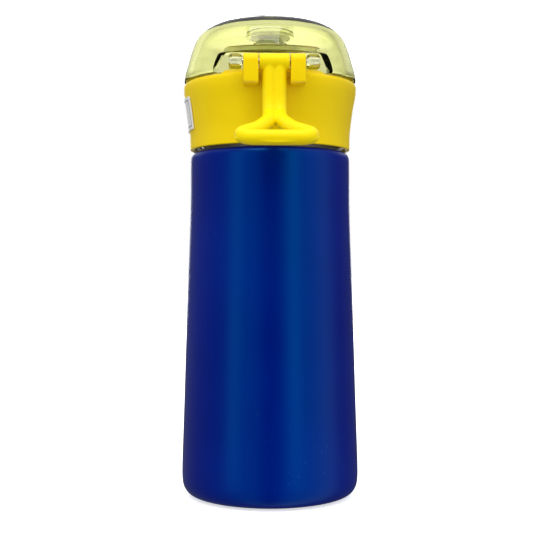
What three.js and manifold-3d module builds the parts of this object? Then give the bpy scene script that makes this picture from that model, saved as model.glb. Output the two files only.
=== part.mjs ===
// Vacuum kids' bottle with a flip-up dome cover, a drinking spout and a carry handle.
// Millimetres, +Z up, origin on the bottle's axis at the base. The hinge and the handle face -Y,
// the opening button faces +Y.
import * as THREE from 'three';
import { mergeVertices, toCreasedNormals } from 'three/addons/utils/BufferGeometryUtils.js';
import Module from 'manifold-3d';

const wasm = await Module();
wasm.setup();

// ---- driving dimensions ----
const ROUND = 40;            // facets around the large turned pieces
const SMALL_ROUND = 24;      // facets around the small ones
const BODY_TOP = 128.5;      // shoulder of the steel body
const BODY_WALL = 0.8;
const NECK_R = 25;
const NECK_TOP = 138.6;
const THREAD_LEAD = 8;       // two starts, so the pitch is half of it
const THREAD_R = 0.9;        // radius of the rolled thread's bead
const THREAD_TURNS = 0.75;
const COLLAR_BOTTOM = 129.4;
const COLLAR_TOP = 154.2;
const DECK_TOP = 152;
const DECK_BOTTOM = 150;
const CORE_TOP = 143.2;      // top of the threaded insert's plate
const SPOUT_TOP = 171.5;
const DOME_BOTTOM = 154.6;
const DOME_TOP = 177.6;
const HINGE_Y = -35.2;
const HINGE_Z = 156.7;
const HINGE_R = 2.85;
const PIN_R = 1;
const BORE_R = 1.09;
const BORE_X = 20;           // half length of the cutters for the bores
const BARREL_X = 5.25;       // half length of the handle's barrel
const EAR_X = [5.6, 10.8];
const KNUCKLE_X = [11.2, 15.8];
const ALCOVE_Y = -24.5;      // back wall of the dome's hinge alcove
const ALCOVE_Z = 161.7;      // its ceiling
const BOSS_X = 13;           // half width of the button's housing
const BOSS_Y = 34.3;
const RECESS_X = 8.6;        // the recess that the button's plate sits in
const RECESS_Y = 30.6;
const POCKET_Y = [21.5, 28.4]; // the space for the button's and lock's works
const THROUGH_Y = 40;        // cutters from the pocket run out past the front
const PLATE_Y = [24.6, 26.1]; // the lock's plate
const WING_Y = [26.4, 28];   // the button's wings and catch
const STEM_Z = [146.8, 149.3];
const LOCK_Z = [144, 146.4];
const SPRING_R = 1.3;
const SPRING_WIRE = 0.3;
const VENT_Y = -16;
const ROD_R = 2.6;           // the two round rods that make the handle's stem and loop
const ROD_X = 1.8;           // half distance between them in the stem
const LOOP_START = [-39, 136.8]; // y and z where the rods part
const LOOP_TILT = Math.PI / 6; // the loop leans this far below level

// outside of the collar, bottom to top: radius, height
const COLLAR_SIDE = [
  [30.1, COLLAR_BOTTOM], [30.1, 135], [30.3, 137.2], [30.7, 139.8], [31.05, 142.6],
  [31.5, 145.7], [32.2, 148.7], [32.5, 151], [32.5, 153], [32.2, 153.8], [31.6, COLLAR_TOP],
];
// outside of the dome, bottom to top
const DOME_SIDE = [
  [32.4, DOME_BOTTOM], [32.55, 155.4], [32.2, 158], [31.4, 161], [30.6, 164], [29.7, 167],
  [28.5, 170], [26.6, 172.6], [24.2, 174.6], [20.5, 176.1], [14, 177.1], [7, 177.5], [0, DOME_TOP],
];
const DOME_HOLLOW = [
  [29.6, DOME_BOTTOM - 1], [29.6, 155.4], [29.2, 158], [28.4, 161], [27.6, 164], [26.6, 167],
  [25.2, 170], [23.2, 172], [20, 173.5], [14, 174.4], [0, 174.8],
];

// ---- solids ----
function solidOf(geometry) {
  const bare = new THREE.BufferGeometry();
  bare.setAttribute('position', geometry.getAttribute('position').clone());
  if (geometry.index) bare.setIndex(geometry.index.clone());
  const merged = mergeVertices(bare, 1e-4);
  const points = merged.getAttribute('position').array;
  const triangles = [];
  let volume = 0;
  const corner = (i) => new THREE.Vector3().fromArray(points, 3 * i);
  for (let i = 0; i < merged.index.count; i += 3) {
    const [a, b, c] = [0, 1, 2].map((k) => merged.index.getX(i + k));
    if (a === b || b === c || c === a) continue;
    triangles.push(a, b, c);
    volume += corner(a).dot(corner(b).cross(corner(c)));
  }
  if (volume < 0) triangles.reverse();
  return new wasm.Manifold(new wasm.Mesh({
    numProp: 3, vertProperties: points, triVerts: Uint32Array.from(triangles),
  }));
}

const join = (first, ...rest) => rest.reduce((whole, solid) => whole.add(solid), first);
const cut = (first, ...rest) => rest.reduce((whole, solid) => whole.subtract(solid), first);

// a closed profile of [radius, height] turned about Z
function turned(profile, facets = ROUND) {
  const points = [...profile, profile[0]].map(([r, z]) => new THREE.Vector2(r, z));
  return solidOf(new THREE.LatheGeometry(points, facets).rotateX(Math.PI / 2));
}

// a ring or disc between two radii and two heights
const ring = (inner, outer, low, high, facets = ROUND) =>
  turned([[inner, low], [outer, low], [outer, high], [inner, high]], facets);

const block = ([x0, x1], [y0, y1], [z0, z1]) =>
  solidOf(new THREE.BoxGeometry(x1 - x0, y1 - y0, z1 - z0)
    .translate((x0 + x1) / 2, (y0 + y1) / 2, (z0 + z1) / 2));

// a round bar along X at the hinge's height
const hingeBar = (radius, [x0, x1]) =>
  solidOf(new THREE.CylinderGeometry(radius, radius, x1 - x0, SMALL_ROUND)
    .rotateZ(Math.PI / 2).translate((x0 + x1) / 2, HINGE_Y, HINGE_Z));

// an outline of [y, z] pulled along X
function pulledX(outline, [x0, x1]) {
  const shape = new THREE.Shape(outline.map(([y, z]) => new THREE.Vector2(y, z)));
  const axes = new THREE.Matrix4().makeBasis(
    new THREE.Vector3(0, 1, 0), new THREE.Vector3(0, 0, 1), new THREE.Vector3(1, 0, 0));
  return solidOf(new THREE.ExtrudeGeometry(shape, { depth: x1 - x0, bevelEnabled: false })
    .applyMatrix4(axes).translate(x0, 0, 0));
}

// a span in X, or the same on the other side
const mirrored = ([x0, x1], side) => (side < 0 ? [-x1, -x0] : [x0, x1]);

// a bar along a curve: [thickness, width] are the section's half sizes
function bar(curve, [thickness, width], steps, sides = 6) {
  const shape = new THREE.Shape();
  shape.absellipse(0, 0, thickness, width, 0, 2 * Math.PI);
  return solidOf(new THREE.ExtrudeGeometry(shape, {
    steps, extrudePath: curve, curveSegments: sides / 2,
  }));
}

class Helix extends THREE.Curve {
  constructor(radius, lead, turns, low, phase = 0) {
    super();
    Object.assign(this, { radius, lead, turns, low, phase });
  }

  getPoint(t) {
    const angle = this.phase + 2 * Math.PI * this.turns * t;
    return new THREE.Vector3(
      this.radius * Math.cos(angle), this.radius * Math.sin(angle),
      this.low + this.lead * this.turns * t);
  }
}

// two thread starts; the lid's ridges lie half a pitch above the neck's
function threads(radius, low) {
  const starts = [0, Math.PI].map((phase) =>
    bar(new Helix(radius, THREAD_LEAD, THREAD_TURNS, low, phase), [THREAD_R, THREAD_R], 21));
  return join(...starts);
}

const group = new THREE.Group();
group.name = 'kids_water_bottle';

function place(name, solid, color, roughness, metalness = 0, more = {}) {
  const { vertProperties, triVerts } = solid.getMesh();
  const geometry = new THREE.BufferGeometry();
  geometry.setAttribute('position', new THREE.BufferAttribute(vertProperties, 3));
  geometry.setIndex(new THREE.BufferAttribute(triVerts, 1));
  const mesh = new THREE.Mesh(
    toCreasedNormals(geometry, 0.6),
    new THREE.MeshStandardMaterial({ color, roughness, metalness, ...more }));
  mesh.name = name;
  group.add(mesh);
}

// ---- the steel body ----
function bodyShell() {
  const outside = [
    [28.2, 0.6], [29.6, 0.7], [31.3, 1.6], [32.5, 3.2], [33.1, 5.6], [33.2, 9], [32.2, 40],
    [31.5, 66], [30.6, 90], [30, 110], [30, 126], [29.6, 127.5], [28.5, 128.3],
    [27.2, BODY_TOP], [NECK_R, BODY_TOP], [NECK_R, NECK_TOP],
  ];
  const inside = [
    [NECK_R - BODY_WALL, NECK_TOP], [NECK_R - BODY_WALL, 127.6], [28, 127.5], [29.2, 126],
    [29.2, 110], [29.8, 90], [31.4, 40], [32.4, 9], [31.8, 3.8], [30.8, 2.4], [29.4, 1.5],
    [28.2, 1.4],
  ];
  return join(turned([...outside, ...inside]), threads(NECK_R + 0.3, 131.2));
}

function innerVessel() {
  const outside = [
    [0, 6.6], [25, 6.6], [28.6, 8], [30, 12], [29.9, 24], [27.6, 100], [27.1, 118],
    [23.9, 125.4], [23.9, 138.9], [NECK_R, 138.9], [NECK_R, 139.7],
  ];
  const inside = [
    [22.9, 139.7], [22.9, 125], [26.3, 117.6], [26.8, 100], [29.1, 24], [29.2, 12.4], [28.1, 9],
    [24.9, 7.5], [0, 7.5],
  ];
  return turned([...outside, ...inside]);
}

place('outer_shell', bodyShell(), 0x0b3a86, 0.35, 0.3);
place('inner_vessel', innerVessel(), 0xc4c7c9, 0.3, 1);
// closes the vacuum space from below, with a dimple where the air is drawn out
const baseDisc = () => turned([
  [0, 3], [4, 3], [5, 2.4], [27.8, 2.4], [27.8, 3.2], [5.4, 3.2], [4.3, 3.8], [0, 3.8],
]);

const getter = () => solidOf(new THREE.CylinderGeometry(4, 4, 2, SMALL_ROUND)
  .rotateX(Math.PI / 2).translate(14, 0, 4.6));

const basePad = () => turned([[0, 0], [26.6, 0], [27.6, 0.6], [27.6, 1.4], [0, 1.4]]);

place('base_disc', baseDisc(), 0xb9bcbe, 0.4, 1);
place('vacuum_seal', ring(0, 3, 1.7, 2.6, SMALL_ROUND), 0x5a5f63, 0.5);
place('getter', getter(), 0x6f7276, 0.6, 1);
place('base_pad', basePad(), 0x0a2c66, 0.8);

// ---- the screw lid ----
// one hinge ear, rounded over the pin and rooted in the collar's back
function ear(side) {
  const outline = [];
  for (let i = 0; i <= 12; i += 1) {
    const angle = Math.PI * (i / 12);
    outline.push([HINGE_Y + HINGE_R * Math.cos(angle), HINGE_Z + HINGE_R * Math.sin(angle)]);
  }
  outline.push([HINGE_Y - HINGE_R, 149.6], [HINGE_Y - HINGE_R + 0.7, 148.9], [-31, 148.9],
    [-30.5, 155.2], [-31.95, 155.3]);
  return pulledX(outline, mirrored(EAR_X, side));
}

// the ledge behind the ears, as [x, z] pulled along Y and kept inside the collar's round
function plinth() {
  const outline = [
    [-20.5, 151.9], [20.5, 151.9], [20.5, 152.6], [17, 155.2], [-17, 155.2], [-20.5, 152.6],
  ].map(([x, z]) => new THREE.Vector2(x, z));
  const ledge = new THREE.ExtrudeGeometry(
    new THREE.Shape(outline), { depth: 6.3, bevelEnabled: false });
  return solidOf(ledge.rotateX(Math.PI / 2).translate(0, -25.2, 0))
    .intersect(ring(0, 31.6, 140, 160));
}

function collar() {
  const inside = [
    [29.4, COLLAR_TOP], [28.9, 153.4], [28.6, DECK_TOP], [11.3, DECK_TOP], [11.3, DECK_BOTTOM],
    [29.6, DECK_BOTTOM], [30.1, 149], [29.2, 146], [28.5, 143.6], [28.5, COLLAR_BOTTOM],
  ];
  const boss = pulledX([[24, 142.6], [31, 142.6], [BOSS_Y, 144.4], [BOSS_Y, 152.6], [33.4, 153.4],
    [24, 153.4]], [-BOSS_X, BOSS_X]);
  const post = block([-3, 3], [20, POCKET_Y[0]], [144.5, DECK_BOTTOM + 0.5]);
  const solid = join(turned([...COLLAR_SIDE, ...inside]), boss, plinth(), post, ear(-1), ear(1));
  return cut(solid,
    block([-8.8, 8.8], POCKET_Y, [143.5, DECK_BOTTOM]),
    block([-12, 12], [POCKET_Y[0], WING_Y[0]], [143.5, DECK_BOTTOM]),
    ring(0, 28.5, 129, 143.6),
    block([-RECESS_X, RECESS_X], [RECESS_Y, THROUGH_Y], [143.1, 152.7]),
    block([-5.4, 5.4], [25, THROUGH_Y], [146.4, 149.7]),
    block([9.6, 11.4], [25, THROUGH_Y], [144.4, 149.4]),
    block([-3.9, 3.9], [23.8, 28.5], [DECK_BOTTOM - 0.5, 160]),
    hingeBar(BORE_R, [-BORE_X, BORE_X]));
}

function lidCore() {
  const profile = [
    [7, 141.5], [20.5, 141.5], [20.5, 134], [22.3, 134], [22.3, 141.5], [26.6, 141.5],
    [26.6, 130.2], [28.2, 130.2], [28.2, CORE_TOP], [11, CORE_TOP], [11, 146], [9, 146],
    [9, CORE_TOP], [7, CORE_TOP],
  ];
  const vent = solidOf(new THREE.CylinderGeometry(1.5, 1.5, 6, 20).rotateX(Math.PI / 2)
    .translate(0, VENT_Y, 142));
  return cut(join(turned(profile), threads(26.55, 131.2 + THREAD_LEAD / 4)), vent);
}

function spout() {
  return turned([
    [5.15, 147], [13, 147], [13, 148.8], [10.7, 149.4], [10.6, 160], [10.1, 163], [9.1, 165.6],
    [7.8, 168], [6.1, 170], [4.6, 171.2], [4, SPOUT_TOP], [3.2, SPOUT_TOP], [2.9, 171],
    [2.9, 169.8], [5.15, 168.6],
  ], SMALL_ROUND);
}

function airVent() {
  const points = [
    [0, 139.4], [2.1, 139.9], [2.1, 140.6], [1.1, 141.2], [1.1, 143.5], [3.2, 143.5],
    [2.4, 144.5], [0, 144.8], [0, 139.4],
  ].map(([r, z]) => new THREE.Vector2(r, z));
  return solidOf(new THREE.LatheGeometry(points, 20).rotateX(Math.PI / 2)
    .translate(0, VENT_Y, 0));
}

// the badge follows the collar's flank on its -X side
function badge() {
  const flank = COLLAR_SIDE.filter(([, z]) => z > 136 && z < 149);
  const back = flank.map(([r, z]) => [r + 0.15, z]);
  const front = flank.map(([r, z]) => [r + 0.65, z]);
  return turned([...back, ...front.reverse()])
    .intersect(block([-40, 0], [-11.5, 11.5], [130, 150]));
}

place('neck_gasket', ring(22.9, 26.2, 140, 141.2), 0xe9ebe6, 0.7);
place('lid_core', lidCore(), 0xf1f0e8, 0.5);
place('collar', collar(), 0xf2cf00, 0.45);
place('spout_seal', ring(9, 12, 146.3, 146.7, SMALL_ROUND), 0xdfe6e0, 0.7);
place('spout', spout(), 0xe6ebe2, 0.4, 0, { transparent: true, opacity: 0.8 });
place('air_vent', airVent(), 0xdfe6e0, 0.7);
place('hinge_pin', hingeBar(PIN_R, [-15.4, 15.4]), 0xb9bcbe, 0.3, 1);
place('side_badge', badge(), 0xf4f4f0, 0.4);

// ---- the opening button and its lock ----
// the thumb plate, its stem, the wings that hold it in and the upright catch
function pushButton() {
  return join(
    block([-8.2, 8.2], [32.9, 35.6], [143.5, 152.3]),
    block([-5, 5], [WING_Y[0], 33.5], STEM_Z),
    block([-8.5, 8.5], WING_Y, STEM_Z),
    block([-3.5, 3.5], WING_Y, [149, 158.5]));
}

// a knob, a neck through the slot, and a plate that rises behind the button's wing
function lockSlider() {
  return join(
    block([9.2, 12.2], [34.6, 35.8], [144.2, 147]),
    block([9.9, 11.1], [26, 35], [144.8, LOCK_Z[1]]),
    block([6, 11.8], PLATE_Y, LOCK_Z));
}

class SpringCurve extends Helix {
  getPoint(t) {
    return super.getPoint(t).applyEuler(new THREE.Euler(-Math.PI / 2, 0, 0))
      .add(new THREE.Vector3(0, 22.2, 148));
  }
}

place('push_button', pushButton(), 0xf2cf00, 0.4);
place('button_spring', bar(new SpringCurve(SPRING_R, 1.15, 3, 0), [SPRING_WIRE, SPRING_WIRE], 36),
  0xb9bcbe, 0.3, 1);
place('lock_slider', lockSlider(), 0xffffff, 0.4);

// ---- the dome cover ----
function dome() {
  const far = [-40, 40];
  const outer = cut(turned([[0, DOME_BOTTOM], ...DOME_SIDE]),
    block(far, [-60, ALCOVE_Y], [140, ALCOVE_Z]));
  const hollow = cut(turned([[0, DOME_BOTTOM - 1], ...DOME_HOLLOW]),
    block(far, [-60, ALCOVE_Y + 2], [140, ALCOVE_Z + 2]));
  const knuckles = [-1, 1].flatMap((side) => {
    const span = mirrored(KNUCKLE_X, side);
    return [hingeBar(HINGE_R - 0.1, span), block(span, [HINGE_Y, ALCOVE_Y + 1], [155.6, 159.2])];
  });
  return cut(
    join(cut(outer, hollow), ring(7.6, 9, 172.2, 175.5, SMALL_ROUND), ...knuckles,
      block([-3.5, 3.5], [28.4, 30.4], [155.6, 157.4])),
    hingeBar(BORE_R, [-BORE_X, BORE_X]));
}

const plugSeal = () => turned([
  [0, 170.3], [1.6, 170.3], [2, 170.7], [2, 171.8], [7.3, 171.8], [7.3, 174], [0, 174],
], SMALL_ROUND);

place('cover_dome', dome(), 0xd9d96a, 0.1, 0, { transparent: true, opacity: 0.45 });
place('plug_seal', plugSeal(), 0xe6ebe2, 0.6);

// ---- the carry handle ----
// One rod runs from the barrel down the stem, round one side of the loop and just past its
// middle. The loop's points are [across, distance down its plane].
function rod(side) {
  const stem = [[HINGE_Y, HINGE_Z], [HINGE_Y, 148], [-35.6, 142.4], [-36.8, 139]];
  const half = [
    [1.9, 0], [2.5, 3], [3.7, 5.7], [6.2, 9.6], [8.9, 11.9], [10.9, 13.5], [11.4, 15.2],
    [9.8, 16.5], [5.5, 16.9], [-0.6, 17],
  ];
  const points = [
    ...stem.map(([y, z]) => new THREE.Vector3(side * ROD_X, y, z)),
    ...half.map(([across, down]) => new THREE.Vector3(
      side * across,
      LOOP_START[0] - down * Math.cos(LOOP_TILT),
      LOOP_START[1] - down * Math.sin(LOOP_TILT))),
  ];
  return bar(new THREE.CatmullRomCurve3(points, false, 'centripetal'), [ROD_R, ROD_R], 44, 10);
}

function handle() {
  return cut(
    join(hingeBar(HINGE_R, [-BARREL_X, BARREL_X]), rod(-1), rod(1)),
    hingeBar(BORE_R, [-BORE_X, BORE_X]));
}

place('carry_handle', handle(), 0xffe600, 0.4);

export default group;
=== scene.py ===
"""A child's insulated drinking bottle: a coated steel body, a yellow screw lid with a swinging
carry loop, and a clear tinted dome that flips up over a soft spout."""
import math

import bpy
from mathutils import Matrix, Vector


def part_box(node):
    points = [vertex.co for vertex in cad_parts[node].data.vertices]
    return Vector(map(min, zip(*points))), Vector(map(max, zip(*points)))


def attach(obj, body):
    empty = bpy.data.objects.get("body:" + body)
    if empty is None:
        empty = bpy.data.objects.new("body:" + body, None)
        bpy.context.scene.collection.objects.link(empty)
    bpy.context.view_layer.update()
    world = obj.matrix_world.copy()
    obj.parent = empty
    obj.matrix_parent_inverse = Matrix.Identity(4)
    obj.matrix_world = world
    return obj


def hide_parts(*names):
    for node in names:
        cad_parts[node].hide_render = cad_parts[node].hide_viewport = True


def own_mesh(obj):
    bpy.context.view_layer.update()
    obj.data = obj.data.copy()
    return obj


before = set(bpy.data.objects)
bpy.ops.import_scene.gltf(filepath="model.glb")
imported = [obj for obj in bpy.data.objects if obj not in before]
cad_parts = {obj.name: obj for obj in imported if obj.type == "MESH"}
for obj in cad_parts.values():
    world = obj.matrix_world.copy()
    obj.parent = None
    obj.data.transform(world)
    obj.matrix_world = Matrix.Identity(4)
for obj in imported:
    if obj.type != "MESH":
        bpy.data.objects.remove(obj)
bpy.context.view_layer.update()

MM = 0.001

# ---- the studio ----
# A pale floor, a bright even backdrop and large soft boxes to the left, the right and above.
# Gloss sees a darker room than the backdrop, so that the coat keeps its depth of colour.
VIEW_AZIMUTH = math.radians(-2.5)
VIEW_DISTANCE = 0.4
VIEW_HEIGHT = 0.087
VIEW_TARGET = Vector((-0.0013, 0, 0.0858))
VIEW_LENS = 71.3


def around(azimuth, distance, height):
    """A point round the bottle: azimuth 0 is on the hinge side, and 90 on its right."""
    return Vector((math.sin(azimuth) * distance, -math.cos(azimuth) * distance, height))


def aimed(thing, target):
    thing.rotation_mode = "QUATERNION"
    thing.rotation_quaternion = (target - thing.location).to_track_quat("-Z", "Y")


def softbox(name, azimuth, height, distance, size, power, tone=(1, 1, 1)):
    light = bpy.data.lights.new(name, "AREA")
    light.shape, light.size, light.size_y = "RECTANGLE", size[0], size[1]
    light.energy, light.color = power, tone
    lamp = bpy.data.objects.new(name, light)
    bpy.context.scene.collection.objects.link(lamp)
    lamp.location = around(math.radians(azimuth), distance, height)
    lamp.visible_camera = lamp.visible_transmission = False
    aimed(lamp, Vector((0, 0, 0.1)))


def add(tree, kind, inputs=None, **settings):
    """A shader node with its settings, and its inputs set or linked."""
    made = tree.nodes.new("ShaderNode" + kind)
    for key, value in settings.items():
        setattr(made, key, value)
    for key, value in (inputs or {}).items():
        if isinstance(value, bpy.types.NodeSocket):
            tree.links.new(value, made.inputs[key])
        else:
            made.inputs[key].default_value = value
    return made


def maths(tree, operation, *values):
    return add(tree, "Math", dict(enumerate(values)), operation=operation).outputs[0]


def ramped(tree, value, low, high, to_low=0.0, to_high=1.0):
    """A value eased from one range into another."""
    return add(tree, "MapRange", {"Value": value, "From Min": low, "From Max": high,
                                  "To Min": to_low, "To Max": to_high},
               interpolation_type="SMOOTHSTEP").outputs[0]


def mixed(tree, factor, first, second):
    """A colour between two."""
    node = add(tree, "Mix", {0: factor, 6: first, 7: second}, data_type="RGBA")
    return node.outputs[2]


scene = bpy.context.scene
scene.view_settings.view_transform = "Standard"
camera = bpy.data.objects.new("camera", bpy.data.cameras.new("camera"))
scene.collection.objects.link(camera)
scene.camera = camera
camera.data.lens, camera.data.sensor_width = VIEW_LENS, 36
camera.location = around(VIEW_AZIMUTH, VIEW_DISTANCE, VIEW_HEIGHT)
camera.data.clip_start = 0.01
aimed(camera, VIEW_TARGET)

world = bpy.data.worlds.new("studio")
scene.world = world
world.use_nodes = True
sky = world.node_tree
rays = add(sky, "LightPath")
way = add(sky, "SeparateXYZ", {0: add(sky, "TexCoord").outputs["Generated"]})
overhead = ramped(sky, way.outputs[2], 0.3, 0.95, 0.0, 0.7)
bearing = maths(sky, "ARCTAN2", way.outputs[0], maths(sky, "MULTIPLY", way.outputs[1], -1.0))
leftward = maths(sky, "MULTIPLY", bearing, -1.0)
right_wall = maths(sky, "MULTIPLY", ramped(sky, bearing, 0.15, 0.4),
                   ramped(sky, bearing, 1.3, 1.8, 1.0, 0.06))
left_wall = maths(sky, "MULTIPLY", ramped(sky, leftward, 0.15, 0.4),
                  ramped(sky, leftward, 0.5, 1.5, 0.75, 0.12))
walls = maths(sky, "MAXIMUM", right_wall, left_wall)
high_behind = maths(sky, "MULTIPLY", ramped(sky, way.outputs[1], 0.2, 0.8),
                    ramped(sky, way.outputs[2], 0.15, 0.32, 0.0, 0.7))
above = maths(sky, "MAXIMUM", overhead, high_behind)
gloss_light = maths(sky, "ADD", maths(sky, "MAXIMUM", above, walls), 0.03)
gloss_light = maths(sky, "MULTIPLY", rays.outputs["Is Glossy Ray"], gloss_light)
soft_light = maths(sky, "MULTIPLY", rays.outputs["Is Diffuse Ray"],
                   ramped(sky, way.outputs[2], -0.35, 0.9, 0.46, 1.2))
aside = add(sky, "VectorMath", {0: add(sky, "TexCoord").outputs["Generated"],
                                1: (0.94, 0.34, 0)}, operation="DOT_PRODUCT").outputs["Value"]
through = maths(sky, "MULTIPLY", ramped(sky, aside, 0.5, 0.9, 0.82, 0.3),
                ramped(sky, way.outputs[2], 0.3, 0.75, 1.0, 0.6))
through = maths(sky, "MULTIPLY", through, rays.outputs["Is Transmission Ray"])
shown = maths(sky, "MAXIMUM", rays.outputs["Is Camera Ray"], through)
strength = maths(sky, "ADD", maths(sky, "ADD", soft_light, gloss_light), shown)
backdrop = sky.nodes["Background"]
backdrop.inputs["Color"].default_value = (1, 1, 1, 1)
sky.links.new(strength, backdrop.inputs["Strength"])

softbox("left_box", -50, 0.16, 0.75, (0.22, 0.7), 0.5)
softbox("right_box", 30, 0.16, 0.8, (0.16, 0.7), 0.5)
softbox("top_box", -12, 0.85, 0.42, (0.5, 0.4), 2.4)
softbox("back_left_box", -170, 0.35, 0.9, (0.3, 0.7), 2.0)
softbox("back_right_box", 168, 0.35, 0.9, (0.3, 0.7), 2.0)


def deselect():
    bpy.ops.object.select_all(action="DESELECT")


def named(name):
    """Names the object just added, and puts its place into its mesh."""
    piece = bpy.context.object
    piece.name = piece.data.name = name
    bpy.ops.object.transform_apply(location=True, rotation=True, scale=True)
    return piece


deselect()
bpy.ops.mesh.primitive_plane_add(size=12)
floor = named("floor")
floor_paint = bpy.data.materials.new("floor_paint")
floor_paint.use_nodes = True
paper = floor_paint.node_tree
fibre = add(paper, "TexNoise", {"Vector": add(paper, "TexCoord").outputs["Object"], "Scale": 60})
paper.links.new(
    mixed(paper, fibre.outputs[0], (0.9, 0.9, 0.9, 1), (0.93, 0.93, 0.93, 1)),
    paper.nodes["Principled BSDF"].inputs["Base Color"])
paper.nodes["Principled BSDF"].inputs["Roughness"].default_value = 0.9
paper.nodes["Principled BSDF"].inputs["Emission Color"].default_value = (1, 1, 1, 1)
paper.nodes["Principled BSDF"].inputs["Emission Strength"].default_value = 0.6
floor.data.materials.append(floor_paint)
floor.visible_glossy = floor.visible_diffuse = False

# ---- the steel body ----
# A drawn stainless shell with a rolled two-start thread on its neck, powder coated in satin blue
# up to the shoulder. The bare liner is welded to it at the rim, with a vacuum between them.
SHELL_OUTSIDE = [
    (28.2, 0.6), (28.6, 0.6), (29.6, 0.75), (30.6, 1.15), (31.5, 1.85), (32.3, 2.95), (32.9, 4.4),
    (33.15, 6.4), (33.2, 9), (33.1, 14), (32.75, 24), (32.2, 40), (31.5, 66), (30.6, 90),
    (30.1, 104), (30, 112), (30, 122), (30, 125.7), (29.85, 126.7), (29.4, 127.6), (28.7, 128.2),
    (27.8, 128.45), (26.5, 128.5), (25.4, 128.5), (25.05, 128.65), (25, 129.1), (25, 133),
    (25, 138.1), (24.95, 138.6),
]
SHELL_INSIDE = [
    (24.25, 138.6), (24.2, 138.1), (24.2, 130), (24.2, 127.9), (24.5, 127.7), (27.6, 127.6),
    (28.8, 126.8), (29.2, 125), (29.2, 110), (29.8, 90), (30.7, 66), (31.4, 40), (32.4, 9),
    (32.2, 6), (31.6, 3.6), (30.4, 2), (29.2, 1.5), (28.2, 1.4),
]
LINER = [
    (0, 6.6), (20, 6.6), (25, 6.6), (28.6, 8), (30, 12), (29.9, 24), (27.6, 100), (27.1, 118),
    (23.9, 125.4), (23.9, 132), (23.9, 138.7), (24.1, 138.95), (24.9, 139), (25, 139.3),
    (24.9, 139.65), (23.4, 139.7), (22.95, 139.4), (22.9, 138.8), (22.9, 132), (22.9, 125),
    (26.3, 117.6), (26.8, 100), (29.1, 24), (29.2, 12.4), (28.1, 9), (24.9, 7.5), (20, 7.5),
    (0, 7.5),
]
PAINT_EDGE = 27.7 * MM
THREAD_BEAD = 0.9
THREAD_RADIUS = 25.3
THREAD_LOW = 131.2
THREAD_LEAD = 8
THREAD_TURNS = 0.75


def applied(piece, kind, **settings):
    """One modifier on a piece, set and applied."""
    deselect()
    piece.select_set(True)
    bpy.context.view_layer.objects.active = piece
    modifier = piece.modifiers.new(kind.lower(), kind)
    for key, value in settings.items():
        setattr(modifier, key, value)
    bpy.ops.object.modifier_apply(modifier=modifier.name)


def editing(piece):
    deselect()
    piece.select_set(True)
    bpy.context.view_layer.objects.active = piece
    bpy.ops.object.mode_set(mode="EDIT")
    bpy.ops.mesh.select_all(action="SELECT")


def outlined(name, points, closed=True):
    """A chain of edges through points in mm, drawn by extruding one vertex, and closed to a ring."""
    deselect()
    bpy.ops.mesh.primitive_plane_add(size=MM, location=Vector(points[0]) * MM)
    piece = named(name)
    editing(piece)
    bpy.ops.mesh.merge(type="CENTER")
    for here, there in zip(points, points[1:] + points[:1] if closed else points[1:]):
        step = (Vector(there) - Vector(here)) * MM
        bpy.ops.mesh.extrude_region_move(TRANSFORM_OT_translate={"value": step})
    bpy.ops.mesh.select_all(action="SELECT")
    bpy.ops.mesh.remove_doubles(threshold=1e-6)
    return piece


def smoothed(piece, angle=35):
    deselect()
    piece.select_set(True)
    bpy.context.view_layer.objects.active = piece
    bpy.ops.object.shade_smooth_by_angle(angle=math.radians(angle))
    return piece


def spun(name, outline, steps=64, levels=1, turn=2 * math.pi, angle=35):
    """A turned piece from its (radius, height) outline in mm."""
    on_axis = outline[0][0] == 0 and outline[-1][0] == 0
    piece = outlined(name, [(r, 0, z) for r, z in outline], closed=not on_axis)
    bpy.ops.mesh.spin(steps=steps, angle=turn, center=(0, 0, 0), axis=(0, 0, 1))
    bpy.ops.mesh.select_all(action="SELECT")
    bpy.ops.mesh.remove_doubles(threshold=1e-6)
    bpy.ops.mesh.normals_make_consistent(inside=False)
    bpy.ops.object.mode_set(mode="OBJECT")
    if levels:
        applied(piece, "SUBSURF", levels=levels, render_levels=levels)
    return smoothed(piece, angle)


def surface_detail():
    """Shared by the finishes: slow clouds, fine grain, hair scratches and rubbed edges."""
    group = bpy.data.node_groups.new("surface_detail", "ShaderNodeTree")
    for label in ("Cloud Scale", "Grain Scale", "Scratch Scale"):
        group.interface.new_socket(label, in_out="INPUT", socket_type="NodeSocketFloat")
    for label in ("Cloud", "Grain", "Scratch", "Edge"):
        group.interface.new_socket(label, in_out="OUTPUT", socket_type="NodeSocketFloat")
    scales = add(group, "TexCoord").outputs["Object"]
    given = group.nodes.new("NodeGroupInput")
    cloud = add(group, "TexNoise", {"Vector": scales, "Scale": given.outputs["Cloud Scale"],
                                    "Detail": 3.0})
    grain = add(group, "TexNoise", {"Vector": scales, "Scale": given.outputs["Grain Scale"],
                                    "Detail": 4.0, "Roughness": 0.6})
    streaks = add(group, "Mapping", {"Vector": scales, "Rotation": (0.5, 0.7, 0.4),
                                     "Scale": (1, 14, 1)})
    hair = add(group, "TexNoise", {"Vector": streaks.outputs[0],
                                   "Scale": given.outputs["Scratch Scale"], "Detail": 5.0,
                                   "Roughness": 0.7})
    scratch = ramped(group, hair.outputs[0], 0.66, 0.72)
    edge = ramped(group, add(group, "NewGeometry").outputs["Pointiness"], 0.53, 0.6)
    result = group.nodes.new("NodeGroupOutput")
    for label, socket in (("Cloud", cloud.outputs[0]), ("Grain", grain.outputs[0]),
                          ("Scratch", scratch), ("Edge", edge)):
        group.links.new(socket, result.inputs[label])
    return group


DETAIL = surface_detail()


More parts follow.
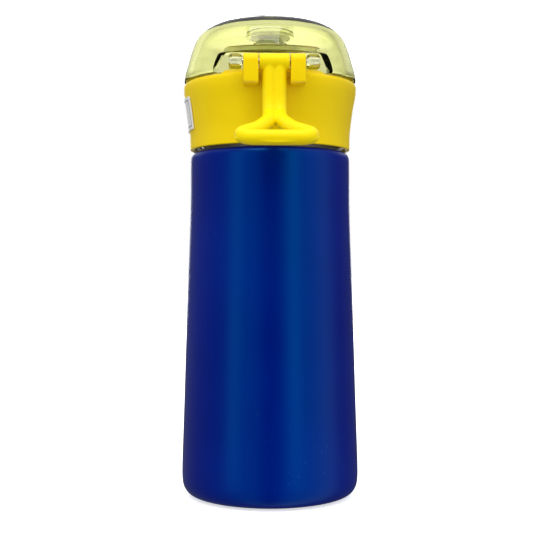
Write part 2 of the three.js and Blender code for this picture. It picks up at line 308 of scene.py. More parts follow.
def finish(name, **sockets):
    """A new material, with the plain values of its Principled shader set."""
    material = bpy.data.materials.new(name)
    material.use_nodes = True
    shader = material.node_tree.nodes["Principled BSDF"]
    for key, value in sockets.items():
        shader.inputs[key.replace("_", " ")].default_value = value
    return material, material.node_tree, shader


def detailed(tree, clouds, grain, scratches):
    node = tree.nodes.new("ShaderNodeGroup")
    node.node_tree = DETAIL
    for label, value in (("Cloud Scale", clouds), ("Grain Scale", grain),
                         ("Scratch Scale", scratches)):
        node.inputs[label].default_value = value
    return node.outputs


def bumped(tree, shader, height, depth):
    bump = add(tree, "Bump", {"Height": height, "Distance": depth, "Strength": 1.0})
    tree.links.new(bump.outputs[0], shader.inputs["Normal"])


def satin_coat():
    """Powder coat: a faint orange peel, tiny pale flecks and a slow drift in its blue."""
    material, tree, shader = finish("satin_blue_coat", IOR=1.5, Specular_IOR_Level=0.6,
                                    Specular_Tint=(0.0, 0.5, 1.0, 1))
    skin = detailed(tree, 22, 1500, 60)
    flecks = add(tree, "TexVoronoi", {"Vector": add(tree, "TexCoord").outputs["Object"],
                                      "Scale": 420})
    fleck = maths(tree, "MULTIPLY", ramped(tree, flecks.outputs["Distance"], 0.09, 0.04),
                  ramped(tree, skin["Cloud"], 0.5, 0.7))
    blue = mixed(tree, ramped(tree, skin["Cloud"], 0.3, 0.7),
                 (0.0, 0.003, 0.18, 1), (0.0, 0.006, 0.215, 1))
    blue = mixed(tree, maths(tree, "MULTIPLY", fleck, 0.35), blue, (0.15, 0.45, 0.8, 1))
    blue = mixed(tree, maths(tree, "MULTIPLY", skin["Scratch"], 0.05), blue, (0.02, 0.15, 0.4, 1))
    tree.links.new(blue, shader.inputs["Base Color"])
    tree.links.new(ramped(tree, skin["Cloud"], 0.2, 0.8, 0.27, 0.34), shader.inputs["Roughness"])
    bumped(tree, shader, skin["Grain"], 0.00002)
    return material


def turned_steel():
    """Stainless steel with the fine rings that spinning and polishing leave."""
    material, tree, shader = finish("turned_steel", Metallic=1.0)
    place = add(tree, "TexCoord").outputs["Object"]
    rings = add(tree, "Mapping", {"Vector": place, "Scale": (4, 4, 900)})
    lines = add(tree, "TexNoise", {"Vector": rings.outputs[0], "Scale": 3.0, "Detail": 4.0})
    skin = detailed(tree, 30, 900, 90)
    grey = mixed(tree, lines.outputs[0], (0.5, 0.51, 0.52, 1), (0.68, 0.68, 0.69, 1))
    tree.links.new(mixed(tree, maths(tree, "MULTIPLY", skin["Scratch"], 0.3), grey,
                         (0.8, 0.8, 0.82, 1)), shader.inputs["Base Color"])
    tree.links.new(ramped(tree, lines.outputs[0], 0.2, 0.8, 0.2, 0.36),
                   shader.inputs["Roughness"])
    bumped(tree, shader, lines.outputs[0], 0.00001)
    return material


BLUE_COAT = satin_coat()
STEEL = turned_steel()

shell = spun("body_shell", SHELL_OUTSIDE + SHELL_INSIDE, steps=80)
shell.data.materials.append(BLUE_COAT)
shell.data.materials.append(STEEL)
for face in shell.data.polygons:
    centre = face.center
    inward = Vector((centre.x, centre.y, 0)).dot(face.normal) < -0.3 * centre.xy.length
    bare = centre.xy.length < PAINT_EDGE or inward
    face.material_index = 1 if bare else 0
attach(shell, "bottle")
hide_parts("outer_shell")


def threaded(name, radius, low, material, body):
    """The two starts of a round rolled thread, swept up and round the neck."""
    beads = []
    for start in (0, math.pi):
        deselect()
        bpy.ops.mesh.primitive_circle_add(
            vertices=16, radius=THREAD_BEAD * MM, fill_type="NOTHING",
            location=(radius * MM, 0, low * MM), rotation=(math.pi / 2, 0, 0))
        bead = named(name)
        applied(bead, "SCREW", angle=2 * math.pi * THREAD_TURNS,
                screw_offset=THREAD_LEAD * THREAD_TURNS * MM, steps=72, render_steps=72)
        editing(bead)
        bpy.ops.mesh.select_all(action="DESELECT")
        bpy.ops.mesh.select_non_manifold()
        bpy.ops.mesh.edge_face_add()
        bpy.ops.mesh.select_all(action="SELECT")
        bpy.ops.mesh.normals_make_consistent(inside=False)
        bpy.ops.object.mode_set(mode="OBJECT")
        bead.data.transform(Matrix.Rotation(start, 4, "Z"))
        beads.append(bead)
    deselect()
    for bead in beads:
        bead.select_set(True)
    bpy.context.view_layer.objects.active = beads[0]
    bpy.ops.object.join()
    thread = smoothed(beads[0], 50)
    thread.data.materials.append(material)
    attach(thread, body)
    return thread


neck_thread = threaded("neck_thread", THREAD_RADIUS, THREAD_LOW, STEEL, "bottle")

liner = spun("steel_liner", LINER)
liner.data.materials.append(STEEL)
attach(liner, "bottle")
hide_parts("inner_vessel")


def dull_metal():
    """The getter's sintered pellet and the base disc: blotched, unpolished metal."""
    material, tree, shader = finish("dull_metal", Metallic=1.0)
    skin = detailed(tree, 160, 1400, 120)
    tree.links.new(mixed(tree, skin["Cloud"], (0.28, 0.28, 0.29, 1), (0.5, 0.5, 0.5, 1)),
                   shader.inputs["Base Color"])
    tree.links.new(ramped(tree, skin["Grain"], 0.2, 0.8, 0.4, 0.65), shader.inputs["Roughness"])
    bumped(tree, shader, skin["Grain"], 0.00003)
    return material


def seal_resin():
    """The dark glass drop that closes the vacuum."""
    material, tree, shader = finish("seal_resin", Roughness=0.35)
    skin = detailed(tree, 300, 1200, 90)
    tree.links.new(mixed(tree, skin["Cloud"], (0.02, 0.022, 0.025, 1), (0.06, 0.06, 0.06, 1)),
                   shader.inputs["Base Color"])
    bumped(tree, shader, skin["Grain"], 0.00002)
    return material


def repainted(node, material):
    """A carried-over CAD node with a finish of its own."""
    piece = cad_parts[node]
    piece.data.materials.clear()
    piece.data.materials.append(material)
    return piece


DULL_METAL = dull_metal()
repainted("base_disc", DULL_METAL)
repainted("getter", DULL_METAL)
repainted("vacuum_seal", seal_resin())

# ---- the base pad ----
# A thin rubber disc let into the bottom, with shallow grip rings, in a darker blue.
PAD_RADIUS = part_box("base_pad")[1].x / MM
PAD_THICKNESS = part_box("base_pad")[1].z / MM
GRIP_RINGS = (9, 15, 21)


def rubber():
    """Matt rubber: stippled, with a dusty bloom."""
    material, tree, shader = finish("base_rubber", Roughness=0.85)
    skin = detailed(tree, 45, 2200, 70)
    tree.links.new(mixed(tree, ramped(tree, skin["Cloud"], 0.35, 0.75),
                         (0.004, 0.014, 0.07, 1), (0.02, 0.035, 0.1, 1)),
                   shader.inputs["Base Color"])
    tree.links.new(ramped(tree, skin["Cloud"], 0.3, 0.7, 0.75, 0.9), shader.inputs["Roughness"])
    bumped(tree, shader, skin["Grain"], 0.00008)
    return material


grip = [(0, 0)]
for ring in GRIP_RINGS:
    grip += [(ring - 0.7, 0), (ring - 0.5, 0.35), (ring + 0.5, 0.35), (ring + 0.7, 0)]
pad = spun("grip_pad", grip + [(PAD_RADIUS - 1, 0), (PAD_RADIUS - 0.2, 0.25),
                               (PAD_RADIUS, 0.8), (PAD_RADIUS, PAD_THICKNESS),
                               (0, PAD_THICKNESS)])
pad.data.materials.append(rubber())
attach(pad, "bottle")
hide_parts("base_pad")

# ---- the threaded insert and its seals ----
# An off-white moulded insert is snapped into the yellow collar. It carries the lid's thread, the
# silicone ring that closes on the steel rim, and the umbrella valve that lets air in.
INSERT = [
    (7.1, 141.5), (20.2, 141.5), (20.45, 141.2), (20.5, 134.3), (20.8, 134), (22, 134),
    (22.3, 134.3), (22.3, 141.3), (22.5, 141.5), (26.4, 141.5), (26.6, 141.3), (26.6, 130.5),
    (26.8, 130.2), (28, 130.2), (28.2, 130.5), (28.2, 142.9), (28, 143.2), (11.2, 143.2),
    (11, 143.4), (11, 145.8), (10.8, 146), (9.2, 146), (9, 145.8), (9, 143.3), (7.1, 143.2),
    (7, 143), (7, 141.7),
]
NECK_RING = [
    (22.95, 140.25), (23.4, 140), (25.7, 140), (26.15, 140.25), (26.2, 140.6), (25.8, 141.15),
    (23.3, 141.2), (22.95, 140.9),
]


def moulded(name, dark, light, gloss=(0.32, 0.42), grain=1800, depth=0.00001, soft=0.0,
            sheen=(1, 1, 1, 1)):
    """Injection-moulded plastic: a fine spark grain, faint clouds, hair scratches and edges
    rubbed a little paler."""
    material, tree, shader = finish(name, IOR=1.49, Specular_Tint=sheen, Subsurface_Weight=soft)
    shader.inputs["Subsurface Radius"].default_value = (1.0, 0.7, 0.2)
    shader.inputs["Subsurface Scale"].default_value = 0.0015
    skin = detailed(tree, 28, grain, 75)
    tone = mixed(tree, ramped(tree, skin["Cloud"], 0.3, 0.7), dark, light)
    pale = tuple(min(1, 0.75 * c + 0.25) for c in light[:3]) + (1,)
    tone = mixed(tree, maths(tree, "MULTIPLY", skin["Edge"], 0.18), tone, pale)
    tone = mixed(tree, maths(tree, "MULTIPLY", skin["Scratch"], 0.05), tone, pale)
    tree.links.new(tone, shader.inputs["Base Color"])
    tree.links.new(maths(tree, "ADD", ramped(tree, skin["Cloud"], 0.2, 0.8, *gloss),
                         maths(tree, "MULTIPLY", skin["Scratch"], 0.08)),
                   shader.inputs["Roughness"])
    bumped(tree, shader, skin["Grain"], depth)
    return material


def silicone(name, clear):
    """Milky soft silicone with a faint bloom."""
    material, tree, shader = finish(name, IOR=1.41, Transmission_Weight=clear)
    shader.inputs["Subsurface Weight"].default_value = 0.6
    shader.inputs["Subsurface Radius"].default_value = (1.0, 1.0, 0.9)
    shader.inputs["Subsurface Scale"].default_value = 0.003
    skin = detailed(tree, 60, 1500, 60)
    tree.links.new(mixed(tree, skin["Cloud"], (0.78, 0.82, 0.78, 1), (0.88, 0.9, 0.87, 1)),
                   shader.inputs["Base Color"])
    tree.links.new(ramped(tree, skin["Cloud"], 0.2, 0.8, 0.34, 0.46), shader.inputs["Roughness"])
    bumped(tree, shader, skin["Grain"], 0.00002)
    return material


INSERT_PLASTIC = moulded("insert_plastic", (0.78, 0.77, 0.7, 1), (0.86, 0.85, 0.79, 1))
SEAL_SILICONE = silicone("seal_silicone", 0.0)

insert = spun("threaded_insert", INSERT)
insert.data.materials.append(INSERT_PLASTIC)
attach(insert, "lid")
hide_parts("lid_core")
insert_thread = threaded("insert_thread", 26.55, THREAD_LOW + THREAD_LEAD / 4, INSERT_PLASTIC,
                         "lid")

neck_ring = spun("neck_ring", NECK_RING)
neck_ring.data.materials.append(SEAL_SILICONE)
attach(neck_ring, "lid_lift")
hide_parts("neck_gasket")
repainted("spout_seal", SEAL_SILICONE)
repainted("air_vent", SEAL_SILICONE)

# ---- the collar ----
# The lid's outer body, one yellow moulding with a drawn-in waist. Two ears for the hinge stand on
# its back above a shallow scoop, and the housing of the opening button stands on its front.
COLLAR_OUTSIDE = [
    (29.9, 129.4), (30.08, 129.6), (30.1, 130), (30.1, 132.5), (30.15, 135), (30.35, 137.5),
    (30.7, 140), (31.1, 143), (31.55, 146), (32.15, 148.7), (32.45, 150.8), (32.5, 152.2),
    (32.45, 153.1), (32.2, 153.75), (31.7, 154.15), (31.2, 154.2),
]
COLLAR_INSIDE = [
    (29.6, 154.2), (29.1, 153.9), (28.9, 153.4), (28.6, 152.3), (28.3, 152), (20, 152.0),
    (11.7, 152), (11.35, 151.8), (11.3, 151.4), (11.3, 150.4), (11.5, 150), (20, 150),
    (29.4, 150), (29.9, 149.7), (29.9, 149), (29.2, 146), (28.5, 143.6), (28.5, 136),
    (28.5, 129.7), (28.7, 129.4),
]
HINGE = Vector((0, -35.2, 156.7))
EAR_RADIUS = 2.85
EAR_SIDES = (5.6, 10.8)
EAR_FOOT = 148.9
BOSS_HALF_WIDTH = 13
BOSS_FACE = 34.3


def pulled(name, outline, start, end, along):
    """A closed outline in mm, filled and pulled out along one axis."""
    spare = [i for i in range(3) if i != along]
    points = []
    for pair in outline:
        point = [0.0, 0.0, 0.0]
        point[along] = start
        point[spare[0]], point[spare[1]] = pair
        points.append(tuple(point))
    piece = outlined(name, points)
    bpy.ops.mesh.edge_face_add()
    step = [0.0, 0.0, 0.0]
    step[along] = (end - start) * MM
    bpy.ops.mesh.extrude_region_move(TRANSFORM_OT_translate={"value": step})
    bpy.ops.mesh.select_all(action="SELECT")
    bpy.ops.mesh.normals_make_consistent(inside=False)
    bpy.ops.object.mode_set(mode="OBJECT")
    return piece


def rounded(piece, width, segments=3, angle=30):
    applied(piece, "BEVEL", width=width * MM, segments=segments, limit_method="ANGLE",
            angle_limit=math.radians(angle))
    return piece


def boxed(name, low, high, edge=0.0):
    """A block between two corners in mm, with its edges rounded."""
    deselect()
    low, high = Vector(low), Vector(high)
    bpy.ops.mesh.primitive_cube_add(size=1, location=(low + high) / 2 * MM,
                                    scale=(high - low) * MM)
    piece = named(name)
    return rounded(piece, edge) if edge else piece


def round_bar(name, radius, x0, x1, edge=0.0, steps=48):
    """A round bar on the hinge's axis."""
    deselect()
    bpy.ops.mesh.primitive_cylinder_add(
        vertices=steps, radius=radius * MM, depth=(x1 - x0) * MM,
        location=(((x0 + x1) / 2 * MM), HINGE.y * MM, HINGE.z * MM),
        rotation=(0, math.pi / 2, 0))
    piece = named(name)
    return rounded(piece, edge) if edge else piece


def combined(piece, operation, *tools):
    """Joins tools to a piece or cuts them from it, and clears them away."""
    for tool in tools:
        applied(piece, "BOOLEAN", operation=operation, object=tool, solver="EXACT")
        bpy.data.objects.remove(tool)
    return piece


def arc(centre, radius, start, end, count):
    """Points in mm along part of a circle, by angles in degrees."""
    turns = [math.radians(start + (end - start) * i / count) for i in range(count + 1)]
    return [(centre[0] + radius * math.cos(t), centre[1] + radius * math.sin(t)) for t in turns]


def scoop():
    deselect()
    bpy.ops.mesh.primitive_uv_sphere_add(segments=64, ring_count=32, radius=1,
                                         location=(0, -38.6 * MM, 156 * MM),
                                         scale=(21 * MM, 8 * MM, 7.5 * MM))
    return named("scoop")


def plinth():
    """The raised ledge that the ears stand on, kept inside the collar's round."""
    ledge = rounded(pulled("ledge", [(-20.5, 151.9), (20.5, 151.9), (20.5, 152.6), (17, 155.2),
                                     (-17, 155.2), (-20.5, 152.6)], -31.5, -25.2, along=1), 0.3)
    deselect()
    bpy.ops.mesh.primitive_cylinder_add(vertices=128, radius=31.3 * MM, depth=20 * MM,
                                        location=(0, 0, 152 * MM))
    applied(ledge, "BOOLEAN", operation="INTERSECT", object=named("round"), solver="EXACT")
    bpy.data.objects.remove(bpy.data.objects["round"])
    return ledge


ear_outline = arc((HINGE.y, HINGE.z), EAR_RADIUS, 0, 180, 16) + [
    (HINGE.y - EAR_RADIUS, EAR_FOOT + 0.6), (HINGE.y - EAR_RADIUS + 0.6, EAR_FOOT),
    (-31, EAR_FOOT), (-30.2, 155.1)]
boss_outline = [(26, 142.6), (31, 142.6), (BOSS_FACE, 144.4), (BOSS_FACE, 152.6),
                (33.4, 153.4), (26, 153.4)]

collar = spun("collar_shell", COLLAR_OUTSIDE + COLLAR_INSIDE)
combined(collar, "DIFFERENCE", scoop())
combined(collar, "UNION",
         rounded(pulled("boss", boss_outline, -BOSS_HALF_WIDTH, BOSS_HALF_WIDTH, along=0), 0.7, 4),
         plinth(), boxed("post", (-3, 20, 144.5), (3, 21.5, 150.5), 0.2))
for side in (-1, 1):
    near, far = sorted(side * x for x in EAR_SIDES)
    combined(collar, "UNION", rounded(pulled("ear", ear_outline, near, far, along=0), 0.6, 4))
combined(collar, "DIFFERENCE",
         boxed("works", (-8.8, 21.5, 143.5), (8.8, 28.4, 150.0)),
         boxed("lock_works", (-12, 21.5, 143.5), (12, 26.4, 150.0)),
         boxed("recess", (-8.6, 30.6, 143.1), (8.6, 40, 152.7), 0.5),
         boxed("window", (-5.4, 25, 146.4), (5.4, 35, 149.7)),
         boxed("lock_slot", (9.6, 25, 144.4), (11.4, 40, 149.4)),
         boxed("catch_slot", (-3.9, 23.8, 149.4), (3.9, 28.5, 160)),
         round_bar("bore", 1.09, -20, 20))
smoothed(collar, 32)
LID_YELLOW = moulded("lid_yellow", (0.92, 0.66, 0.0, 1), (0.98, 0.71, 0.0, 1),
                     gloss=(0.38, 0.48), soft=0.12, sheen=(1, 0.85, 0.15, 1))
collar.data.materials.append(LID_YELLOW)
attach(collar, "lid")
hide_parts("collar")

# ---- the side badge ----
# A thin white plate stuck to the collar's flank, printed with a plain drop of water, with a grey
# line painted round its edge as painted shade along the plate's side edge.
BADGE_HEIGHT = (136.4, 148.2)
BADGE_TURN = math.radians(43)
BADGE_RISE = (0.12, 0.6)


def plate_print_and_edge_shade():
    material, tree, shader = finish("badge_print", Roughness=0.3)
    place = add(tree, "SeparateXYZ", {0: add(tree, "TexCoord").outputs["Object"]})
    across, up = place.outputs[1], maths(tree, "SUBTRACT", place.outputs[2], 0.1423)
    side = maths(tree, "SUBTRACT", maths(tree, "ABSOLUTE", across), 0.0103)
    end = maths(tree, "SUBTRACT", maths(tree, "ABSOLUTE", up), 0.0047)
    border = maths(tree, "ABSOLUTE", maths(tree, "MAXIMUM", side, end))
    # Painted shade: a thin dark line round the plate's edge stands in for the shade along its side
    # edge; the drop of water below is print.
    line = ramped(tree, border, 0.00028, 0.00014)
    narrowing = ramped(tree, up, -0.0012, 0.0036, 0.0024, 0.0)
    belly = maths(tree, "SQRT", maths(tree, "ADD", maths(tree, "MULTIPLY", across, across),
                                      maths(tree, "POWER", maths(tree, "ADD", up, 0.001), 2.0)))
    ball = maths(tree, "LESS_THAN", belly, 0.0024)
    cone = maths(tree, "MULTIPLY",
                 maths(tree, "LESS_THAN", maths(tree, "ABSOLUTE", across), narrowing),
                 maths(tree, "GREATER_THAN", up, -0.001))
    print_and_edge_shade = maths(tree, "MAXIMUM", line, maths(tree, "MAXIMUM", ball, cone))
    skin = detailed(tree, 90, 2000, 80)
    white = mixed(tree, skin["Cloud"], (0.82, 0.83, 0.82, 1), (0.9, 0.9, 0.9, 1))
    tree.links.new(mixed(tree, maths(tree, "MULTIPLY", print_and_edge_shade, 0.85), white, (0.18, 0.2, 0.22, 1)),
                   shader.inputs["Base Color"])
    tree.links.new(ramped(tree, skin["Grain"], 0.2, 0.8, 0.25, 0.36), shader.inputs["Roughness"])
    bumped(tree, shader, skin["Grain"], 0.00001)
    return material


def flank(z):
    """The collar's radius at a height, between the points of its outline."""
    for (r0, z0), (r1, z1) in zip(COLLAR_OUTSIDE, COLLAR_OUTSIDE[1:]):
        if z0 <= z <= z1:
            return r0 + (r1 - r0) * (z - z0) / (z1 - z0)


heights = [BADGE_HEIGHT[0] + (BADGE_HEIGHT[1] - BADGE_HEIGHT[0]) * i / 8 for i in range(9)]
badge = outlined("badge_plate", [(flank(z) + BADGE_RISE[0], 0, z) for z in heights]
                 + [(flank(z) + BADGE_RISE[1], 0, z) for z in reversed(heights)])
bpy.ops.mesh.edge_face_add()
bpy.ops.mesh.spin(steps=40, angle=BADGE_TURN, center=(0, 0, 0), axis=(0, 0, 1))
bpy.ops.mesh.select_all(action="SELECT")
bpy.ops.mesh.remove_doubles(threshold=1e-6)
bpy.ops.mesh.normals_make_consistent(inside=False)
bpy.ops.object.mode_set(mode="OBJECT")
middle = sum((v.co for v in badge.data.vertices), Vector()) / len(badge.data.vertices)
turn = math.pi - math.atan2(middle.y, middle.x)
badge.data.transform(Matrix.Rotation(turn, 4, "Z"))
rounded(badge, 0.12, 2, 50)
smoothed(badge, 40)
badge.data.materials.append(plate_print_and_edge_shade())
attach(badge, "lid")
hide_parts("side_badge")

# ---- the spout ----
# A soft milky mouthpiece: a straight tower through the deck with a bell-shaped tip, moulded in
# silicone and clamped under the deck by its flange.
SPOUT = [
    (5.2, 147), (12.7, 147), (13, 147.3), (13, 148.5), (12.7, 148.8), (11, 149.1), (10.7, 149.6),
    (10.65, 153), (10.6, 160), (10.2, 163), (9.2, 165.6), (7.9, 168), (6.3, 169.9), (4.9, 171),
    (4.2, 171.4), (3.7, 171.5), (3.2, 171.4), (2.95, 171), (2.9, 169.9), (3.3, 169.5),
    (5, 168.7), (5.15, 168.2), (5.15, 158), (5.15, 147.3),
]
spout = spun("drinking_spout", SPOUT, steps=64, angle=60)
spout.data.materials.append(silicone("spout_silicone", 0.85))
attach(spout, "lid")
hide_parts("spout")

# ---- the button, its spring and the lock ----
# A yellow thumb plate on a stem, with the catch that holds the dome standing on its back end. A
# small white slider beside it puts a tongue behind the button's wings.
THUMB_RIBS = (145.6, 147.9, 150.2)


def thumb_plate():
    plate = boxed("press_button", (-8.2, 32.9, 143.5), (8.2, 35.6, 152.3), 0.6)
    for height in THUMB_RIBS:
        combined(plate, "DIFFERENCE",
                 boxed("groove", (-5, 35.2, height - 0.25), (5, 37, height + 0.25), 0.2))
    return combined(
        plate, "UNION",
        boxed("stem", (-5, 26.4, 146.8), (5, 33.5, 149.3), 0.2),
        boxed("wings", (-8.5, 26.4, 146.8), (8.5, 28, 149.3), 0.2),
        boxed("catch", (-3.5, 26.4, 148.9), (3.5, 28, 158.5), 0.25))


button = smoothed(thumb_plate())
button.data.materials.append(LID_YELLOW)
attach(button, "button")
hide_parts("push_button")

slider = combined(
    boxed("lock_tab", (9.2, 34.6, 144.2), (12.2, 35.8, 147), 0.3), "UNION",
    boxed("neck", (9.9, 25.5, 144.8), (11.1, 35, 146.3), 0.1),
    boxed("plate", (6, 24.6, 144), (11.8, 26.1, 146.4), 0.2))
smoothed(slider)
slider.data.materials.append(moulded("lock_white", (0.8, 0.8, 0.78, 1), (0.88, 0.88, 0.86, 1)))
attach(slider, "lock")
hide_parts("lock_slider")


def drawn_wire():
    """Drawn spring wire and pins: bright, with lines along its length."""
    material, tree, shader = finish("drawn_wire", Metallic=1.0)
    skin = detailed(tree, 200, 1600, 160)
    tree.links.new(mixed(tree, skin["Cloud"], (0.42, 0.42, 0.43, 1), (0.62, 0.62, 0.63, 1)),
                   shader.inputs["Base Color"])
    tree.links.new(ramped(tree, skin["Grain"], 0.2, 0.8, 0.18, 0.32), shader.inputs["Roughness"])
    bumped(tree, shader, skin["Grain"], 0.00001)
    return material


COIL_RADIUS = 1.3
COIL_WIRE = 0.28
COIL_PITCH = 1.15
COIL_TURNS = 3
COIL_START = (22.25, 148)


def wound_coil():
    """A round wire wound along the button's travel, with its ends closed."""
    deselect()
    bpy.ops.mesh.primitive_circle_add(
        vertices=12, radius=COIL_WIRE * MM, fill_type="NOTHING",
        location=(COIL_RADIUS * MM, COIL_START[0] * MM, 0))
    coil = named("button_coil")
    applied(coil, "SCREW", axis="Y", angle=2 * math.pi * COIL_TURNS,
            screw_offset=COIL_PITCH * COIL_TURNS * MM, steps=96, render_steps=96)
    editing(coil)
    bpy.ops.mesh.select_all(action="DESELECT")
    bpy.ops.mesh.select_non_manifold()
    bpy.ops.mesh.edge_face_add()
    bpy.ops.mesh.select_all(action="SELECT")
    bpy.ops.mesh.normals_make_consistent(inside=False)
    bpy.ops.object.mode_set(mode="OBJECT")
    coil.data.transform(Matrix.Translation((0, 0, COIL_START[1] * MM)))
    return smoothed(coil, 50)


WIRE = drawn_wire()
coil = wound_coil()
coil.data.materials.append(WIRE)
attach(coil, "lid")
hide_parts("button_spring")
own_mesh(coil)

# ---- the dome cover ----
# One clear moulding tinted pale yellow-green, about 3 mm thick and polished. An alcove in its back
# makes room for the hinge, and a ring under its crown holds the silicone plug.
DOME_OUTSIDE = [
    (32.0, 154.62), (32.4, 154.8), (32.55, 155.3), (32.45, 156.6), (32.2, 158), (31.85, 159.5),
    (31.4, 161), (31, 162.5), (30.55, 164), (30.1, 165.6), (29.6, 167), (29, 168.7),
    (28.3, 170.3), (27.2, 172), (25.7, 173.6), (23.7, 175), (21.1, 176), (17.6, 176.75),
    (13, 177.2), (7, 177.5), (0, 177.6),
]
DOME_INSIDE = [
    (29.65, 155.3), (29.6, 156.6), (29.3, 158), (28.5, 161), (27.6, 164), (26.6, 167),
    (25.3, 169.9), (24.2, 171.3), (22.4, 172.5), (19.6, 173.5), (15, 174.2), (9, 174.6),
    (0, 174.8),
]
ALCOVE_BACK = -24.5
ALCOVE_CEILING = 161.7
KNUCKLE_SIDES = (11.2, 15.8)


def clear_tint():
    """Polished clear plastic whose tint deepens with the thickness that light crosses, with painted
    dark olive shade along its edges where the surface turns away from the view.
    """
    material, tree, shader = finish("clear_tinted", IOR=1.49, Transmission_Weight=1.0,
                                    Roughness=0.02)
    skin = detailed(tree, 18, 900, 55)
    # Painted shade: the colour turns dark olive where the surface turns away from the view, standing
    # in for the dark edges of the glass.
    rim = add(tree, "LayerWeight", {"Blend": 0.5}).outputs["Facing"]
    body = mixed(tree, skin["Cloud"], (0.95, 0.96, 0.86, 1), (1, 1, 0.94, 1))
    tree.links.new(mixed(tree, ramped(tree, rim, 0.76, 0.99), body, (0.3, 0.31, 0.03, 1)),
                   shader.inputs["Base Color"])
    tree.links.new(maths(tree, "ADD", ramped(tree, skin["Cloud"], 0.2, 0.8, 0.01, 0.03),
                         maths(tree, "MULTIPLY", skin["Scratch"], 0.06)),
                   shader.inputs["Roughness"])
    waves = add(tree, "TexNoise", {"Vector": add(tree, "TexCoord").outputs["Object"],
                                   "Scale": 70, "Detail": 1.0})
    bumped(tree, shader, waves.outputs[0], 0.00006)
    clear = add(tree, "BsdfTransparent", {"Color": (0.9, 0.9, 0.72, 1)})
    lamp_rays = add(tree, "LightPath").outputs["Is Shadow Ray"]
    output = tree.nodes["Material Output"]
    both = add(tree, "MixShader", {0: lamp_rays, 1: shader.outputs[0], 2: clear.outputs[0]})
    tree.links.new(both.outputs[0], output.inputs["Surface"])
    tint = add(tree, "VolumeAbsorption", {"Color": (0.71, 0.72, 0.12, 1), "Density": 190.0})
    tree.links.new(tint.outputs[0], output.inputs["Volume"])
    return material


def dome_cover():
    outer = spun("dome_cover", [(0, 154.6)] + DOME_OUTSIDE, steps=96, angle=30)
    combined(outer, "DIFFERENCE",
             boxed("alcove", (-40, -60, 140), (40, ALCOVE_BACK, ALCOVE_CEILING), 0.8))
    hollow = spun("hollow", [(0, 150), (29.65, 150)] + DOME_INSIDE, steps=96, angle=30)
    combined(hollow, "DIFFERENCE",
             boxed("back", (-40, -60, 130), (40, ALCOVE_BACK + 2, ALCOVE_CEILING + 2), 0.8))
    combined(outer, "DIFFERENCE", hollow)
    combined(outer, "UNION", spun("plug_ring", [
        (7.6, 172.4), (7.8, 172.2), (8.8, 172.2), (9, 172.4), (9, 175.5), (7.6, 175.5)],
        levels=0), boxed("latch_ledge", (-3.5, 28.4, 155.6), (3.5, 30.4, 157.4), 0.2))
    for side in (-1, 1):
        near, far = sorted(side * x for x in KNUCKLE_SIDES)
        combined(outer, "UNION",
                 boxed("arm", (near + 0.05, HINGE.y, 155.6), (far - 0.05, ALCOVE_BACK + 1, 159.2),
                       0.4),
                 round_bar("knuckle", EAR_RADIUS - 0.1, near, far, 1.3))
    return smoothed(combined(outer, "DIFFERENCE", round_bar("bore", 1.09, -20, 20)), 32)


dome = dome_cover()
dome.data.materials.append(clear_tint())
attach(dome, "cover")
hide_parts("cover_dome")

PLUG = [
    (0, 170.3), (1.4, 170.3), (1.8, 170.5), (2, 170.9), (2, 171.6), (2.4, 171.8), (6.9, 171.8),
    (7.3, 172.1), (7.3, 173.7), (7, 174), (0, 174),
]
plug = spun("plug_cap", PLUG)
plug.data.materials.append(silicone("plug_silicone", 0.2))
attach(plug, "cover")
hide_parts("plug_seal")

# ---- the carry handle and the hinge pin ----
# A softer, brighter yellow moulding. Two rods run side by side down from a barrel on the pin, part
# like a wishbone, and close in a broad bar that leans out over the shoulder.
ROD_APART = 1.8
STEM = [(-35.2, 156.7), (-35.2, 148), (-35.6, 142.4), (-36.8, 139)]
STEM_RADIUS = 2.45
LOOP_START = (-39, 136.8)
LOOP_TILT = math.radians(30)
LOOP_HALF = [(1.9, 0), (2.5, 3), (3.7, 5.7), (6.2, 9.6), (8.9, 11.9), (10.9, 13.5),
             (11.4, 15.2), (9.8, 16.5), (5.5, 16.9), (0, 17)]
LOOP_RADIUS = 2.6
PARTING_LINE = (2.5, 0.45)
BARREL_HALF = 5.25


def in_loop(across, down, below=0.0):
    """A point of the loop's tilted plane, or a little below it."""
    return (across,
            LOOP_START[0] - down * math.cos(LOOP_TILT) + below * math.sin(LOOP_TILT),
            LOOP_START[1] - down * math.sin(LOOP_TILT) - below * math.cos(LOOP_TILT))


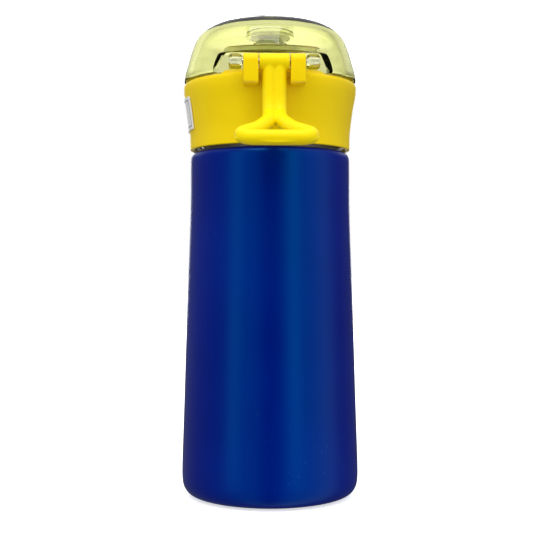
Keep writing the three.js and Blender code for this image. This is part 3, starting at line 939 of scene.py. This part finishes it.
def tube(name, points, radii):
    """A round rod through points in mm, as a mesh."""
    curve = bpy.data.curves.new(name, "CURVE")
    curve.dimensions = "3D"
    curve.bevel_depth, curve.bevel_resolution, curve.resolution_u = MM, 8, 10
    curve.use_fill_caps = True
    spline = curve.splines.new("BEZIER")
    spline.bezier_points.add(len(points) - 1)
    for knot, point, radius in zip(spline.bezier_points, points, radii):
        knot.co = Vector(point) * MM
        knot.radius = radius
        knot.handle_left_type = knot.handle_right_type = "AUTO"
    piece = bpy.data.objects.new(name, curve)
    bpy.context.scene.collection.objects.link(piece)
    deselect()
    piece.select_set(True)
    bpy.context.view_layer.objects.active = piece
    bpy.ops.object.convert(target="MESH")
    return bpy.context.object


def carry_handle():
    parts = [round_bar("loop_handle", EAR_RADIUS, -BARREL_HALF, BARREL_HALF, 0.4)]
    for side in (-1, 1):
        stem = [(side * ROD_APART, y, z) for y, z in STEM]
        loop = [in_loop(side * across, down) for across, down in LOOP_HALF]
        parts.append(tube("rod", stem + loop,
                          [STEM_RADIUS] * len(stem) + [LOOP_RADIUS] * len(loop)))
    out, width = PARTING_LINE
    edge = []
    for across, down in LOOP_HALF[4:]:
        away = Vector((across, down - 9)).normalized() * out
        edge.append((across + away.x, down + away.y))
    edge += [(-across, down) for across, down in reversed(edge[:-1])]
    parts.append(tube("parting_line", [in_loop(across, down, 0.4) for across, down in edge],
                      [width] * len(edge)))
    deselect()
    for part in parts:
        part.select_set(True)
    bpy.context.view_layer.objects.active = parts[0]
    bpy.ops.object.join()
    whole = parts[0]
    applied(whole, "REMESH", mode="VOXEL", voxel_size=0.28 * MM)
    applied(whole, "SMOOTH", factor=0.5, iterations=6)
    combined(whole, "DIFFERENCE", round_bar("bore", 1.09, -20, 20, steps=32))
    return smoothed(whole, 60)


handle = carry_handle()
handle.data.materials.append(moulded("handle_yellow", (1.0, 0.73, 0.0, 1), (1.0, 0.79, 0.0, 1),
                                     gloss=(0.38, 0.48), soft=0.25, sheen=(1, 0.95, 0.2, 1)))
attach(handle, "handle")
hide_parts("carry_handle")

pin = round_bar("steel_pin", 1.0, -15.4, 15.4, 0.25)
smoothed(pin)
pin.data.materials.append(WIRE)
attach(pin, "lid")
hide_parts("hinge_pin")
